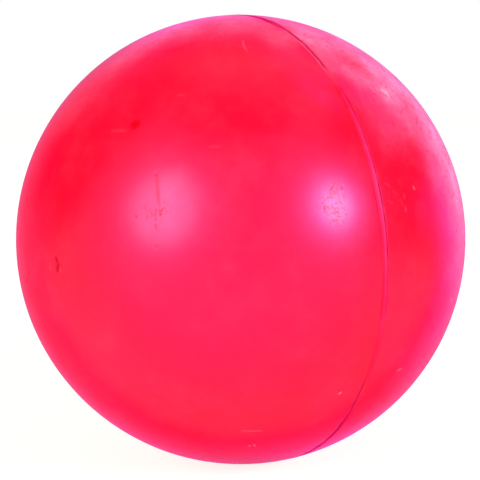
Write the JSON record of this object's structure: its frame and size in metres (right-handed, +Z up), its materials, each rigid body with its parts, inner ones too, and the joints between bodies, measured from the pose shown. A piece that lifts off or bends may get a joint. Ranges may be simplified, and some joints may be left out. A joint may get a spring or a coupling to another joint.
{
  "type": "rubber pet ball",
  "caption": "Thick-walled hollow rubber ball of two moulded half shells, bonded rim to rim by a slightly proud gum strip, with a needle plug in one half.",
  "frame": {"origin": "the ball's centre", "axes": "+X along the mould axis from the left half's pole to the right half's pole, so the seam lies in the YZ plane; +Z up; the front is towards -Y"},
  "size_m": [0.07, 0.0702, 0.0702],
  "materials": {
    "left_half_rubber": "smooth satin moulded rubber, pink-red, with a faint pale bloom and a few fine scratches",
    "right_half_rubber": "satin moulded rubber, pink-red, hazier, with fine pits and short scuffs",
    "seam_gum": "paler pink gum, trimmed by hand, dull",
    "plug_rubber": "darker, dull soft rubber"
  },
  "bodies": {
    "root": {"left_half_shell": "left_half_rubber", "right_half_shell": "right_half_rubber", "seam_bond": "seam_gum", "needle_plug": "plug_rubber"}
  },
  "joints": []
}
